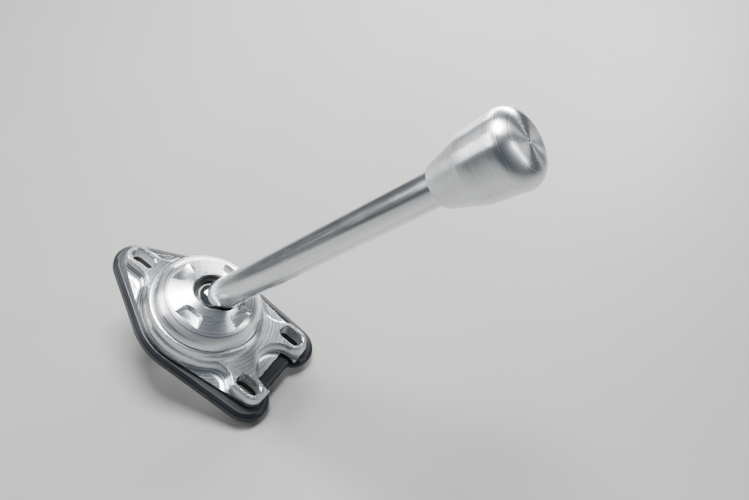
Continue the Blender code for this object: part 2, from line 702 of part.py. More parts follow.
# ---------------------------------------------------------------- cross pin

def cylinder_y(radius, start, end, steps=24, bore=None):
    """A bar or tube along Y."""
    profile = [(bore or 0, start), (radius, start), (radius, end), (bore or 0, end)]
    bm = turned(profile, steps)
    for vert in bm.verts:
        vert.co.y, vert.co.z = vert.co.z, -vert.co.y
    return bm


def make_cross_pin(axis, steel, bronze):
    add_object("cross_pin", cylinder_y(PIN_R, -PIN_HALF, PIN_HALF), steel, axis)
    bore = PIN_R + GAP
    add_object("pin_slipper_1", cylinder_y(SLIPPER_R, -SLIPPER_OUT, -SLIPPER_IN, bore=bore), bronze, axis)
    add_object("pin_slipper_2", cylinder_y(SLIPPER_R, SLIPPER_IN, SLIPPER_OUT, bore=bore), bronze, axis)


# ---------------------------------------------------------------- lever

def bore(start, end, radius):
    return [(0, start), (radius, start), (radius, end), (0, end)]


def make_ball(axis, material):
    ball = add_object("pivot_ball", turned(ball_arc(BALL_R, 0, math.pi, 16), 32), material, axis)
    stud_hole = turned(bore(STUD_START - GAP, FAR, STUD_R + GAP), 24)
    combine(ball, add_cutter("ball_stud_hole", stud_hole, axis))
    arm_hole = turned(bore(STUD_START - GAP, FAR, STUD_R + GAP), 24, up=-1)
    combine(ball, add_cutter("ball_arm_hole", arm_hole, axis))
    combine(ball, add_cutter("ball_pin_hole", cylinder_y(PIN_R + GAP, -FAR, FAR), axis))


def shaft_profile():
    """Solid bar: a hollow end that clears the ball, threaded bores at both ends, rounded lower edge."""
    recess_top = BALL_R + GAP
    stud = STUD_R + GAP
    knob = KNOB_STUD_R + GAP
    return [
        (SHAFT_HOLLOW_R, SHAFT_START),
        *arc((SHAFT_R - SHAFT_ROUND, SHAFT_START + SHAFT_ROUND), SHAFT_ROUND, -90, 0, 3),
        (SHAFT_R, SHAFT_END - 0.5 * MM),
        (SHAFT_R - 0.5 * MM, SHAFT_END),
        (knob, SHAFT_END),
        (knob, KNOB_STUD_START - GAP),
        (0, KNOB_STUD_START - 2 * MM),
        (0, STUD_END + 2 * MM),
        (stud, STUD_END + GAP),
        (stud, recess_top),
        (SHAFT_HOLLOW_R, recess_top),
    ]


def knob_outside():
    """The knob's turned outside, from its small end to the centre of its end face."""
    end_centre = (KNOB_MAX_R - KNOB_END_R, KNOB_END - KNOB_END_R)
    return [
        (KNOB_START_R - KNOB_EDGE, KNOB_START),
        (KNOB_START_R, KNOB_START + KNOB_EDGE),
        (KNOB_BREAK_R - 0.15 * MM, KNOB_BREAK - 0.5 * MM),
        (KNOB_BREAK_R, KNOB_BREAK + 0.1 * MM),
        *arc(end_centre, KNOB_END_R, 0, 90, 8),
    ]


def knob_profile():
    socket = SHAFT_R + GAP
    stud = KNOB_STUD_R + GAP
    return [
        (socket, KNOB_START),
        *knob_outside(),
        (0, KNOB_END),
        (0, KNOB_STUD_END + 2 * MM),
        (stud, KNOB_STUD_END + GAP),
        (stud, SHAFT_END + GAP),
        (socket, SHAFT_END + GAP),
    ]


def stud_profile(radius, start, end):
    tip = 0.5 * MM
    lower = [(0, start), (radius - tip, start), (radius, start + tip)]
    return lower + [(radius, end - tip), (radius - tip, end), (0, end)]


def arm_profile():
    """Lower arm, by distance below the pivot: threaded spigot, shoulder, bar, waist and tip ball."""
    waist = TIP_BALL_R * 0.55
    meets = math.pi - math.asin(waist / TIP_BALL_R)
    tip = ball_arc(TIP_BALL_R, meets, 0, 10, 0)
    return [
        (0, STUD_START),
        (STUD_R, STUD_START),
        (STUD_R, ARM_SHOULDER),
        (ARM_R, ARM_SHOULDER),
        (ARM_R, TIP_CENTRE - TIP_BALL_R - ARM_WAIST),
        *[(r, TIP_CENTRE + z) for r, z in tip],
    ]


def bush_profile():
    """Split-free nylon cup round the tip ball."""
    inside = ball_arc(TIP_BALL_R + GAP, math.radians(52), math.radians(128), 8, TIP_CENTRE)
    low, high = TIP_CENTRE - BUSH_HALF, TIP_CENTRE + BUSH_HALF
    return [(inside[0][0], high), *inside, (inside[-1][0], low), (BUSH_R, low), (BUSH_R, high)]


def nut_profile():
    inner = STUD_R + GAP
    return [(inner, NUT_START), (NUT_CORNER_R, NUT_START), (NUT_CORNER_R, NUT_END), (inner, NUT_END)]


def make_lever(axis, steel, aluminium, nylon):
    make_ball(axis, steel)
    add_object("shaft_stud", turned(stud_profile(STUD_R, STUD_START, STUD_END), 24), steel, axis)
    add_object("shaft", turned(shaft_profile(), 36), aluminium, axis)
    knob_stud = stud_profile(KNOB_STUD_R, KNOB_STUD_START, KNOB_STUD_END)
    add_object("knob_stud", turned(knob_stud, 24), steel, axis)
    add_object("knob", turned(knob_profile()), aluminium, axis)
    add_object("lower_arm", turned(arm_profile(), 32, up=-1), steel, axis)
    nut = add_object("arm_lock_nut", turned(nut_profile(), 6, up=-1), steel, axis)
    round_bore = turned(bore(0, FAR, STUD_R + GAP), 24, up=-1)
    combine(nut, add_cutter("nut_bore", round_bore, axis))
    add_object("tip_bush", turned(bush_profile(), 32, up=-1), nylon, axis)


def main():
    clear_scene()
    aluminium = make_material("machined_aluminium", (0.80, 0.81, 0.83), 0.22, 1.0)
    anodised = make_material("black_anodised_plate", (0.02, 0.022, 0.026), 0.42, 0.0)
    acetal = make_material("black_acetal", (0.02, 0.02, 0.02), 0.5, 0.0)
    steel = make_material("polished_steel", (0.62, 0.61, 0.58), 0.18, 1.0)
    bronze = make_material("bearing_bronze", (0.60, 0.42, 0.22), 0.35, 1.0)
    rubber = make_material("nitrile_rubber", (0.015, 0.015, 0.015), 0.7, 0.0)
    nylon = make_material("nylon", (0.75, 0.74, 0.70), 0.45, 0.0)

    plate = make_base_plate(anodised)
    housing = make_housing(aluminium)
    make_base_screws(steel, plate, housing)
    make_cap_and_seats(aluminium, acetal)
    make_spring_washer(steel)
    make_o_ring(rubber)

    across_axis = add_axis("across_axis", PIVOT_HEIGHT, (-LEAN_ACROSS, 0, 0))
    make_cross_pin(across_axis, steel, bronze)
    lever_axis = add_axis("lever_axis", rotation=(0, LEAN_BACK, 0), parent=across_axis)
    make_lever(lever_axis, steel, aluminium, nylon)


main()
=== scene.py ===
"""Looks for the gear shift lever: machined aluminium on a black plate, with a lapped ball and turned knob."""

import json
import math

import bpy
from mathutils import Matrix, Vector


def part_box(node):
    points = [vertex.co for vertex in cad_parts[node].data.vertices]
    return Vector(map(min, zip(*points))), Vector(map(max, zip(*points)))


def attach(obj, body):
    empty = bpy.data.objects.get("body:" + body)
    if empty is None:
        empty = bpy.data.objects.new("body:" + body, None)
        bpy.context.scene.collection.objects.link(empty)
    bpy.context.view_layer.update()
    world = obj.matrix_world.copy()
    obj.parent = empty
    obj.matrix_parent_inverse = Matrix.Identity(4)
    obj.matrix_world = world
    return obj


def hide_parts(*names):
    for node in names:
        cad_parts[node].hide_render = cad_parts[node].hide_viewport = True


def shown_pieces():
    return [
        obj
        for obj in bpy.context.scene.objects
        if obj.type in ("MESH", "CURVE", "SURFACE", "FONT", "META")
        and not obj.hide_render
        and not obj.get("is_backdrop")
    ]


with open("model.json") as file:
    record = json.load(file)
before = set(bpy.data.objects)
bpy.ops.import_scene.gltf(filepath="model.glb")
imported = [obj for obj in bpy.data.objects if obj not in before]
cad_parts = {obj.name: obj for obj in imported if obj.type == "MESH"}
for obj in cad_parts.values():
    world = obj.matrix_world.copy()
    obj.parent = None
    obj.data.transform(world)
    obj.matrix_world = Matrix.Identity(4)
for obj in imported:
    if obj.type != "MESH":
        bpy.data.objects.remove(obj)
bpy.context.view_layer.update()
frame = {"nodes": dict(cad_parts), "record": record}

MM = 0.001

# ---------------------------------------------------------------- where things are

joints = {joint["name"]: joint for joint in frame["record"]["behaviour"]["joints"]}
pivot = Vector(joints["gate_swing"]["pos_m"])
pin_axis = Vector(joints["shift_swing"]["axis"])
lean_across = math.atan2(-pin_axis.z, pin_axis.y)
lean_back = math.radians(23)      # at rest, about the cross pin
lean_forward = math.radians(4)    # how far the lever swings past upright
gate_travel = math.radians(joints["gate_swing"]["range_deg"][1])
UPRIGHT = Matrix.Identity(4)
LEVER = (Matrix.Translation(pivot) @ Matrix.Rotation(-lean_across, 4, "X")
         @ Matrix.Rotation(lean_back, 4, "Y"))
cap_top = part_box("cap")[1][2] / MM
boss_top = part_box("housing")[1][2] / MM
pivot_height = pivot.z / MM


# ---------------------------------------------------------------- sizes, in mm

GAP = 0.3                     # between pieces that touch
FAR = 40.0                    # past everything that it cuts
EDGE_BREAK = 0.3              # on the housing's and the plate's sharp edges

# the dome, and the mouth that the lever comes out of
DOME_SLOPE = math.radians(20)
CAP_R = 33.4
SHOULDER_R = 12.0             # rounding from the slope down to the dome's edge
MOUTH_R = 12.0
MOUTH_ROUNDING = 0.9
RIM_R = MOUTH_R + MOUTH_ROUNDING
FLANGE_LIFT = 0.4             # the flange's underside above the housing's boss
FLANGE_CHAMFER = 0.35
SKIRT_R = 30.7
SKIRT_INNER_R = 20.3
SKIRT_LOW = 10.4
SEAT_CEILING = 25.3           # inside the cap, above the upper seat's flange
CAVITY_R = 16.5               # the round room over the ball, about the pivot

# a spanner pocket, by its distance out from the cap's axis
POCKET_MIDDLE = 21.0
POCKET_LENGTH = 8.4
POCKET_WIDTH = 15.4           # at its middle
POCKET_OUTER_WIDTH = 19.6
POCKET_INNER_WIDTH = 11.6
POCKET_INNER_CORNER = 2.6
POCKET_OUTER_CORNER = 0.6
POCKET_BLOCK = 2.6            # height of the cutter's sloped walls
POCKET_FLOOR_SHARE = 0.84     # of the pocket's size, left for its floor
POCKET_FLOOR_EDGE = 0.4
POCKET_RISE = 10.0            # of the cutter, above the dome
POCKET_RUN = 13.2             # out from the rim to where the pocket is POCKET_LIP deep
POCKET_LIP = 0.4
POCKET_BAND = (15.5, 27.0)    # the radii that the pockets lie between
POCKET_BELOW = 0.2            # how far under a pocket's floor its faces may lie
POCKET_UNDER = 0.12           # how far under the dome a face is to be in a pocket
pocket_floor = cap_top - POCKET_RUN * math.tan(DOME_SLOPE) - POCKET_LIP

# the lever, by its distance from the pivot
BALL_R = 12.7
SHAFT_R = 9.525
SHAFT_START = 10.7
SHAFT_END = 193.0
SWEEP_ROOM = 0.35             # round the lever, where it swings past the cap and the seat
STUD_HOLE_R = 4.3
STUD_HOLE_FLOOR = 5.0         # in the ball
STUD_HOLE_END = 37.0          # in the bar
KNOB_STUD_HOLE_R = 5.3
KNOB_STUD_HOLE_FLOOR = 168.7  # in the bar
KNOB_STUD_HOLE_END = 213.3    # in the knob
CENTRE_R = 1.0                # a small centre hole
KNOB_START = 181.1
KNOB_END = 231.8
KNOB_R = 20.6
KNOB_CORNER = 9.0
PIN_ROOM = (8.6, 32.4, 13.5)  # cut from the upper seat for the cross pin's swing


# ---------------------------------------------------------------- modelling by hand

def deselect():
    if bpy.context.object and bpy.context.object.mode != "OBJECT":
        bpy.ops.object.mode_set(mode="OBJECT")
    bpy.ops.object.select_all(action="DESELECT")


def start_edit(obj):
    deselect()
    obj.select_set(True)
    bpy.context.view_layer.objects.active = obj
    bpy.ops.object.mode_set(mode="EDIT")
    bpy.ops.mesh.select_mode(type="VERT")
    bpy.ops.mesh.select_all(action="SELECT")


def settle(obj, place=UPRIGHT):
    """Puts the piece in its place and keeps that place in its mesh."""
    deselect()
    obj.select_set(True)
    bpy.context.view_layer.objects.active = obj
    obj.matrix_world = place @ obj.matrix_world
    bpy.context.view_layer.update()
    bpy.ops.object.transform_apply(location=True, rotation=True, scale=True)
    return obj


def lathe(name, profile, tube=False, spokes=128):
    """A piece turned about Z from (radius, height) stations in mm: a ring, drawn out and scaled at each."""
    radius, height = profile[0]
    deselect()
    bpy.ops.mesh.primitive_circle_add(vertices=spokes, radius=radius * MM,
                                      location=(0, 0, height * MM))
    obj = bpy.context.object
    obj.name = name
    start_edit(obj)
    bpy.ops.mesh.select_mode(type="EDGE")
    stations = profile[1:] + (profile[:1] if tube else [])
    for (r0, z0), (r1, z1) in zip(profile, stations):
        bpy.ops.mesh.extrude_edges_move(TRANSFORM_OT_translate={"value": (0, 0, (z1 - z0) * MM)})
        bpy.ops.transform.resize(value=(r1 / r0, r1 / r0, 1), center_override=(0, 0, 0))
    bpy.ops.mesh.select_all(action="SELECT")
    if tube:
        bpy.ops.mesh.remove_doubles(threshold=0.002 * MM)
    else:
        bpy.ops.mesh.fill_holes(sides=0)
    bpy.ops.mesh.select_all(action="SELECT")
    bpy.ops.mesh.normals_make_consistent(inside=False)
    bpy.ops.object.mode_set(mode="OBJECT")
    return obj


def smooth(obj, angle=30):
    deselect()
    obj.select_set(True)
    bpy.context.view_layer.objects.active = obj
    bpy.ops.object.shade_smooth_by_angle(angle=math.radians(angle))
    return obj


def apply_modifier(obj, kind, **settings):
    deselect()
    obj.select_set(True)
    bpy.context.view_layer.objects.active = obj
    bpy.ops.object.modifier_add(type=kind)
    modifier = obj.modifiers[-1]
    for key, value in settings.items():
        setattr(modifier, key, value)
    bpy.ops.object.modifier_apply(modifier=modifier.name)
    return obj


def cut(obj, tool, solver="EXACT"):
    apply_modifier(obj, "BOOLEAN", operation="DIFFERENCE", solver=solver, object=tool)
    bpy.data.objects.remove(tool, do_unlink=True)
    return obj


def eased_copy(name, source):
    """The CAD piece with clean faces, and its edges broken as a deburring tool leaves them."""
    obj = frame["nodes"][source].copy()
    obj.data = obj.data.copy()
    obj.name = name
    bpy.context.collection.objects.link(obj)
    obj.parent = None
    start_edit(obj)
    bpy.ops.mesh.remove_doubles(threshold=0.001 * MM)
    bpy.ops.mesh.dissolve_limited(angle_limit=math.radians(0.4))
    bpy.ops.object.mode_set(mode="OBJECT")
    apply_modifier(obj, "BEVEL", width=EDGE_BREAK * MM, segments=2, limit_method="ANGLE",
                   angle_limit=math.radians(32), use_clamp_overlap=True)
    smooth(obj, 24)
    return apply_modifier(obj, "WEIGHTED_NORMAL", keep_sharp=True, weight=80)


def arc(centre, radius, start, end, steps):
    """(radius, height) points round a rounded corner, angles in degrees from outwards to up."""
    turns = [math.radians(start + (end - start) * i / steps) for i in range(steps + 1)]
    return [(centre[0] + radius * math.cos(t), centre[1] + radius * math.sin(t)) for t in turns]


def finish_piece(obj, body, material, *nodes):
    obj.data.materials.clear()
    obj.data.materials.append(material)
    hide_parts(*nodes)
    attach(obj, body)
    return obj


# ---------------------------------------------------------------- material tools

def srgb(code):
    """Linear colour from an sRGB hex value."""
    parts = [int(code[i:i + 2], 16) / 255 for i in (1, 3, 5)]
    return (*[p / 12.92 if p <= 0.04045 else ((p + 0.055) / 1.055) ** 2.4 for p in parts], 1)


# a Mix node's sockets, which share their names between its kinds
COLOUR_A, COLOUR_B, COLOUR_OUT = 6, 7, 2
VECTOR_A, VECTOR_B, VECTOR_OUT = 4, 5, 1


def node(tree, kind, inputs=None, **settings):
    """Adds a node, with its settings, and its sockets set or linked."""
    made = tree.nodes.new(kind)
    for key, value in settings.items():
        setattr(made, key, value)
    for key, value in (inputs or {}).items():
        if isinstance(value, bpy.types.NodeSocket):
            tree.links.new(value, made.inputs[key])
        else:
            made.inputs[key].default_value = value
    return made


def start_material(name, metallic, anisotropic=0.0):
    material = bpy.data.materials.new(name)
    material.use_nodes = True
    tree = material.node_tree
    shader = tree.nodes["Principled BSDF"]
    shader.inputs["Metallic"].default_value = metallic
    shader.inputs["Anisotropic"].default_value = anisotropic
    shader.inputs["Anisotropic Rotation"].default_value = 0.25 if anisotropic else 0.0
    return material, tree, shader


def own_frame(tree, place):
    """Object coordinates turned into the frame that the piece was machined in."""
    back = place.inverted()
    coordinates = node(tree, "ShaderNodeTexCoord").outputs["Object"]
    return node(tree, "ShaderNodeMapping", {
        "Vector": coordinates,
        "Location": back.to_translation(),
        "Rotation": back.to_euler(),
    }).outputs[0]


def spread(tree, value, low, high, to_low, to_high):
    return node(tree, "ShaderNodeMapRange", {
        "Value": value, "From Min": low, "From Max": high, "To Min": to_low, "To Max": to_high,
    }).outputs[0]


def world_direction(tree, across, place):
    """Turns a direction in the piece's machining frame into one in the world."""
    turned = node(tree, "ShaderNodeVectorRotate", {"Vector": across, "Rotation": place.to_euler()},
                  rotation_type="EULER_XYZ").outputs[0]
    return node(tree, "ShaderNodeVectorTransform", {0: turned}, vector_type="VECTOR",
                convert_from="OBJECT", convert_to="WORLD").outputs[0]


def machined(name, place, colour, dark, rough, groove_mm, depth_mm, anisotropic, flats=False):
    """Aluminium or steel cut on a lathe or mill, with fine tool marks.

    The marks run round the axis on ends and flats and round the body on walls. The reflection spreads across
    them, which gives the long streaks on a bar and the bright fans on an end face. With flats, level faces
    carry rings and walls carry level lines, as a milled billet does.
    """
    material, tree, shader = start_material(name, 1.0, anisotropic)
    at = own_frame(tree, place)
    parts = node(tree, "ShaderNodeSeparateXYZ", {0: at}).outputs
    plan = node(tree, "ShaderNodeCombineXYZ", {"X": parts["X"], "Y": parts["Y"]}).outputs[0]
    out = node(tree, "ShaderNodeVectorMath", {0: plan}, operation="LENGTH").outputs["Value"]
    along = node(tree, "ShaderNodeMath", {0: parts["Z"], 1: out}, operation="ADD").outputs[0]
    across = node(tree, "ShaderNodeVectorMath", {0: (0, 0, 1), 1: plan},
                  operation="CROSS_PRODUCT").outputs[0]
    normal = node(tree, "ShaderNodeNewGeometry").outputs["Normal"]
    if flats:
        up = node(tree, "ShaderNodeSeparateXYZ", {0: normal}).outputs["Z"]
        level = spread(tree, up, 0.93, 0.985, 0, 1)
        along = node(tree, "ShaderNodeMix", {"Factor": level, "A": parts["Z"], "B": out}).outputs[0]
        wall = node(tree, "ShaderNodeVectorMath", {0: (0, 0, 1), 1: normal},
                    operation="CROSS_PRODUCT").outputs[0]
        turn = node(tree, "ShaderNodeVectorMath", {0: across}, operation="NORMALIZE").outputs[0]
        mixed = node(tree, "ShaderNodeMix", {"Factor": level, VECTOR_A: wall, VECTOR_B: turn},
                     data_type="VECTOR")
        across = mixed.outputs[VECTOR_OUT]
    fine = node(tree, "ShaderNodeTexNoise", {"W": along, "Scale": 1 / (groove_mm * MM), "Detail": 3.0,
                                             "Roughness": 0.7}, noise_dimensions="1D").outputs["Fac"]
    broad = node(tree, "ShaderNodeTexNoise", {"W": along, "Scale": 0.16 / (groove_mm * MM), "Detail": 2.0},
                 noise_dimensions="1D").outputs["Fac"]
    smudge = node(tree, "ShaderNodeTexNoise", {"Vector": at, "Scale": 45.0, "Detail": 4.0}).outputs["Fac"]
    nicks = node(tree, "ShaderNodeTexNoise", {"Vector": at, "Scale": 900.0, "Detail": 2.0}).outputs["Fac"]
    marks = node(tree, "ShaderNodeMath", {0: broad, 1: 0.6, 2: fine}, operation="MULTIPLY_ADD").outputs[0]
    shade = spread(tree, marks, 0.45, 1.15, 0, 1)
    tint = node(tree, "ShaderNodeMix", {"Factor": shade, COLOUR_A: srgb(dark), COLOUR_B: srgb(colour)},
                data_type="RGBA")
    wear = spread(tree, smudge, 0.3, 0.7, -0.035, 0.035)
    grip = spread(tree, fine, 0.3, 0.7, rough * 0.75, rough * 1.3)
    total = node(tree, "ShaderNodeMath", {0: wear, 1: grip}, operation="ADD", use_clamp=True).outputs[0]
    height = node(tree, "ShaderNodeMath", {0: nicks, 1: 0.25, 2: fine}, operation="MULTIPLY_ADD").outputs[0]
    rounded = node(tree, "ShaderNodeBevel", {"Radius": 0.35 * MM}, samples=4).outputs[0]
    bumped = node(tree, "ShaderNodeBump", {"Height": height, "Strength": 0.6, "Distance": depth_mm * MM,
                                           "Normal": rounded}).outputs[0]
    tree.links.new(tint.outputs[COLOUR_OUT], shader.inputs["Base Color"])
    tree.links.new(total, shader.inputs["Roughness"])
    tree.links.new(bumped, shader.inputs["Normal"])
    if anisotropic:
        tree.links.new(world_direction(tree, across, place), shader.inputs["Tangent"])
    return material


def end_milled(name, colour, dark, rough):
    """Aluminium left as a small end mill cuts it: crescent marks, with a torn grain between them."""
    material, tree, shader = start_material(name, 1.0)
    at = own_frame(tree, UPRIGHT)
    crescents = node(tree, "ShaderNodeTexWave", {"Vector": at, "Scale": 1 / (3.2 * MM), "Distortion": 6.0,
                                                 "Detail": 2.0, "Detail Scale": 1.5},
                     wave_type="RINGS", rings_direction="SPHERICAL").outputs["Fac"]
    grain = node(tree, "ShaderNodeTexNoise", {"Vector": at, "Scale": 1 / (0.9 * MM),
                                              "Detail": 4.0}).outputs["Fac"]
    marks = node(tree, "ShaderNodeMath", {0: crescents, 1: 0.5, 2: grain},
                 operation="MULTIPLY_ADD").outputs[0]
    tint = node(tree, "ShaderNodeMix", {"Factor": spread(tree, marks, 0.4, 1.0, 0, 1), COLOUR_A: srgb(dark),
                                        COLOUR_B: srgb(colour)}, data_type="RGBA").outputs[COLOUR_OUT]
    rounded = node(tree, "ShaderNodeBevel", {"Radius": 0.3 * MM}, samples=4).outputs[0]
    bumped = node(tree, "ShaderNodeBump", {"Height": marks, "Strength": 0.8, "Distance": 0.10 * MM,
                                           "Normal": rounded}).outputs[0]
    tree.links.new(tint, shader.inputs["Base Color"])
    tree.links.new(spread(tree, grain, 0.3, 0.7, rough * 0.7, rough * 1.2), shader.inputs["Roughness"])
    tree.links.new(bumped, shader.inputs["Normal"])
    return material


def drawn(name, place, colour, dark, rough):
    """A bar drawn through a die and polished lengthways: fine lines run along it."""
    material, tree, shader = start_material(name, 1.0)
    at = own_frame(tree, place)
    stretched = node(tree, "ShaderNodeMapping", {"Vector": at, "Scale": (1.0, 1.0, 0.012)}).outputs[0]
    fine = node(tree, "ShaderNodeTexNoise", {"Vector": stretched, "Scale": 1 / (0.35 * MM),
                                             "Detail": 3.0}).outputs["Fac"]
    broad = node(tree, "ShaderNodeTexNoise", {"Vector": stretched, "Scale": 1 / (2.2 * MM),
                                              "Detail": 2.0}).outputs["Fac"]
    smudge = node(tree, "ShaderNodeTexNoise", {"Vector": at, "Scale": 60.0, "Detail": 4.0}).outputs["Fac"]
    tint = node(tree, "ShaderNodeMix", {"Factor": spread(tree, broad, 0.3, 0.7, 0, 1), COLOUR_A: srgb(dark),
                                        COLOUR_B: srgb(colour)}, data_type="RGBA").outputs[COLOUR_OUT]
    grip = spread(tree, fine, 0.3, 0.7, rough * 0.8, rough * 1.25)
    wear = spread(tree, smudge, 0.3, 0.7, -0.03, 0.03)
    total = node(tree, "ShaderNodeMath", {0: wear, 1: grip}, operation="ADD", use_clamp=True).outputs[0]
    rounded = node(tree, "ShaderNodeBevel", {"Radius": 0.3 * MM}, samples=4).outputs[0]
    bumped = node(tree, "ShaderNodeBump", {"Height": fine, "Strength": 0.5, "Distance": 0.003 * MM,
                                           "Normal": rounded}).outputs[0]
    tree.links.new(tint, shader.inputs["Base Color"])
    tree.links.new(total, shader.inputs["Roughness"])
    tree.links.new(bumped, shader.inputs["Normal"])
    return material


def black_anodised():
    """Aluminium plate, bead-blasted and anodised black: a satin blue-grey sheen, with a lighter colour
    painted along the edges as their highlight line and as rubbed wear.
    """
    material, tree, shader = start_material("black_anodised_blasted_plate", 0.4)
    at = own_frame(tree, UPRIGHT)
    grain = node(tree, "ShaderNodeTexNoise", {"Vector": at, "Scale": 1 / (0.35 * MM),
                                              "Detail": 3.0}).outputs["Fac"]
    cloud = node(tree, "ShaderNodeTexNoise", {"Vector": at, "Scale": 38.0, "Detail": 3.0}).outputs["Fac"]
    rounded = node(tree, "ShaderNodeBevel", {"Radius": 0.5 * MM}, samples=6).outputs[0]
    normal = node(tree, "ShaderNodeNewGeometry").outputs["Normal"]
    flush = node(tree, "ShaderNodeVectorMath", {0: rounded, 1: normal},
                 operation="DOT_PRODUCT").outputs["Value"]
    # painted highlight: the colour turns light grey near every edge, a painted highlight line along the edges
    # that also stands for rubbed wear
    edge = spread(tree, flush, 0.999, 0.96, 0, 0.55)
    base = node(tree, "ShaderNodeMix", {"Factor": cloud, COLOUR_A: srgb("#15181C"),
                                        COLOUR_B: srgb("#1D2126")}, data_type="RGBA").outputs[COLOUR_OUT]
    edge_highlight_and_wear = node(tree, "ShaderNodeMix", {"Factor": edge, COLOUR_A: base, COLOUR_B: srgb("#8D9296")},
                  data_type="RGBA").outputs[COLOUR_OUT]
    rough = spread(tree, cloud, 0.3, 0.7, 0.34, 0.46)
    bumped = node(tree, "ShaderNodeBump", {"Height": grain, "Strength": 0.35, "Distance": 0.02 * MM,
                                           "Normal": rounded}).outputs[0]
    tree.links.new(edge_highlight_and_wear, shader.inputs["Base Color"])
    tree.links.new(rough, shader.inputs["Roughness"])
    tree.links.new(bumped, shader.inputs["Normal"])
    return material


def moulded(name, colour, other, rough, place=UPRIGHT, ring_mm=0.6, grain_mm=0.5):
    """Plastic or rubber: turned rings and a fine grain, so the sheen is broken up."""
    material, tree, shader = start_material(name, 0.0)
    at = own_frame(tree, place)
    parts = node(tree, "ShaderNodeSeparateXYZ", {0: at}).outputs
    rings = node(tree, "ShaderNodeTexNoise", {"W": parts["Z"], "Scale": 1 / (ring_mm * MM)},
                 noise_dimensions="1D").outputs["Fac"]
    grain = node(tree, "ShaderNodeTexNoise", {"Vector": at, "Scale": 1 / (grain_mm * MM),
                                              "Detail": 2.0}).outputs["Fac"]
    height = node(tree, "ShaderNodeMath", {0: rings, 1: grain}, operation="ADD").outputs[0]
    tint = node(tree, "ShaderNodeMix", {"Factor": grain, COLOUR_A: srgb(colour), COLOUR_B: srgb(other)},
                data_type="RGBA").outputs[COLOUR_OUT]
    tree.links.new(tint, shader.inputs["Base Color"])
    tree.links.new(spread(tree, height, 0.7, 1.3, rough * 0.85, rough * 1.15), shader.inputs["Roughness"])
    tree.links.new(node(tree, "ShaderNodeBump", {"Height": height, "Strength": 0.4,
                                                 "Distance": 0.03 * MM}).outputs[0], shader.inputs["Normal"])
    return material


# ---------------------------------------------------------------- materials

# 6061 aluminium turned on a lathe and polished: bright, with fine rings and long streaks
turned_knob = machined("turned_polished_aluminium", LEVER, "#F4F5F7", "#D9DBDF", 0.30, 0.30, 0.004, 0.85)
# 6061 bar, drawn and then polished lengthways: fine lines run along it
drawn_bar = drawn("drawn_polished_aluminium_bar", LEVER, "#F6F7F9", "#DFE1E5", 0.22)
# the same alloy, turned and polished: rings run round the mouth
turned_dome = machined("turned_dome_aluminium", UPRIGHT, "#F4F5F7", "#D2D5DA", 0.27, 0.28, 0.005, 0.8)
# the pockets, cut with a small end mill and left as cut
milled_pocket = end_milled("end_milled_pocket_aluminium", "#E4E6E9", "#7E8288", 0.34)
# 6061 aluminium milled from billet: rings on the level faces, level lines up the walls
milled_housing = machined("milled_billet_aluminium", UPRIGHT, "#F2F3F5", "#B4B8BE", 0.24, 0.60, 0.016, 0.7,
                          flats=True)
# hardened ball, ground and lapped to a mirror
lapped_ball = machined("lapped_ball_steel", LEVER, "#E9E8E4", "#CFCDC8", 0.08, 0.9, 0.001, 0.0)
# carbon steel bar, ground; the nut and screws are the same steel
ground_steel = machined("ground_steel", LEVER, "#BDBCB8", "#8F8E8B", 0.28, 0.5, 0.006, 0.4)
# spring steel strip, rolled: a darker, even grey
spring_steel = machined("rolled_spring_steel", UPRIGHT, "#8A8C90", "#5E6064", 0.32, 0.5, 0.004, 0.0)
# bearing bronze, turned
turned_bronze = machined("turned_bearing_bronze", LEVER, "#C99A5B", "#9C7240", 0.3, 0.4, 0.006, 0.3)
# aluminium plate, bead-blasted and anodised: black with a satin sheen
black_plate = black_anodised()
# acetal, turned: black, slightly waxy
turned_acetal = moulded("turned_black_acetal", "#141416", "#222326", 0.38)
# nitrile rubber, moulded: matt black
nitrile = moulded("moulded_nitrile_rubber", "#101011", "#1B1B1C", 0.6)
# nylon in its natural colour, turned: off-white and waxy
turned_nylon = moulded("turned_natural_nylon", "#D8D5CB", "#E6E3DA", 0.42, LEVER)


# ---------------------------------------------------------------- pieces on the housing

def make_cap():
    """The dome: turned, then four spanner pockets are milled and the mouth is relieved for the lever."""
    low = boss_top + FLANGE_LIFT
    corner = cap_top - (CAP_R - RIM_R) * math.tan(DOME_SLOPE)
    back = SHOULDER_R * math.tan((math.pi / 2 - DOME_SLOPE) / 2)
    centre = (CAP_R - SHOULDER_R, corner - back)
    rise = max(low + FLANGE_CHAMFER - centre[1], 0)
    start = math.degrees(math.asin(rise / SHOULDER_R))
    shoulder = arc(centre, SHOULDER_R, start, 90 - math.degrees(DOME_SLOPE), 28)
    cone_steps = 12
    cone_r, cone_z = shoulder[-1]
    cone = [(cone_r + (RIM_R - cone_r) * i / cone_steps, cone_z + (cap_top - cone_z) * i / cone_steps)
            for i in range(1, cone_steps)]
    throat = pivot_height + math.sqrt(CAVITY_R ** 2 - MOUTH_R ** 2)
    ceiling_r = math.sqrt(CAVITY_R ** 2 - (SEAT_CEILING - pivot_height) ** 2)
    profile = [
        (SKIRT_INNER_R, SKIRT_LOW), (SKIRT_R, SKIRT_LOW),
        (SKIRT_R, low), (shoulder[0][0] - FLANGE_CHAMFER, low),
        *shoulder, *cone,
        *arc((RIM_R, cap_top - MOUTH_ROUNDING), MOUTH_ROUNDING, 90, 180, 10),
        (MOUTH_R, throat), (ceiling_r, SEAT_CEILING), (SKIRT_INNER_R, SEAT_CEILING),
    ]
    cap = lathe("dome_cap", profile, tube=True, spokes=192)
    for quarter in range(4):
        cut(cap, pocket_cutter(quarter * math.pi / 2), "MANIFOLD")
    cut(cap, lever_sweep(), "MANIFOLD")
    return smooth(cap, 13)


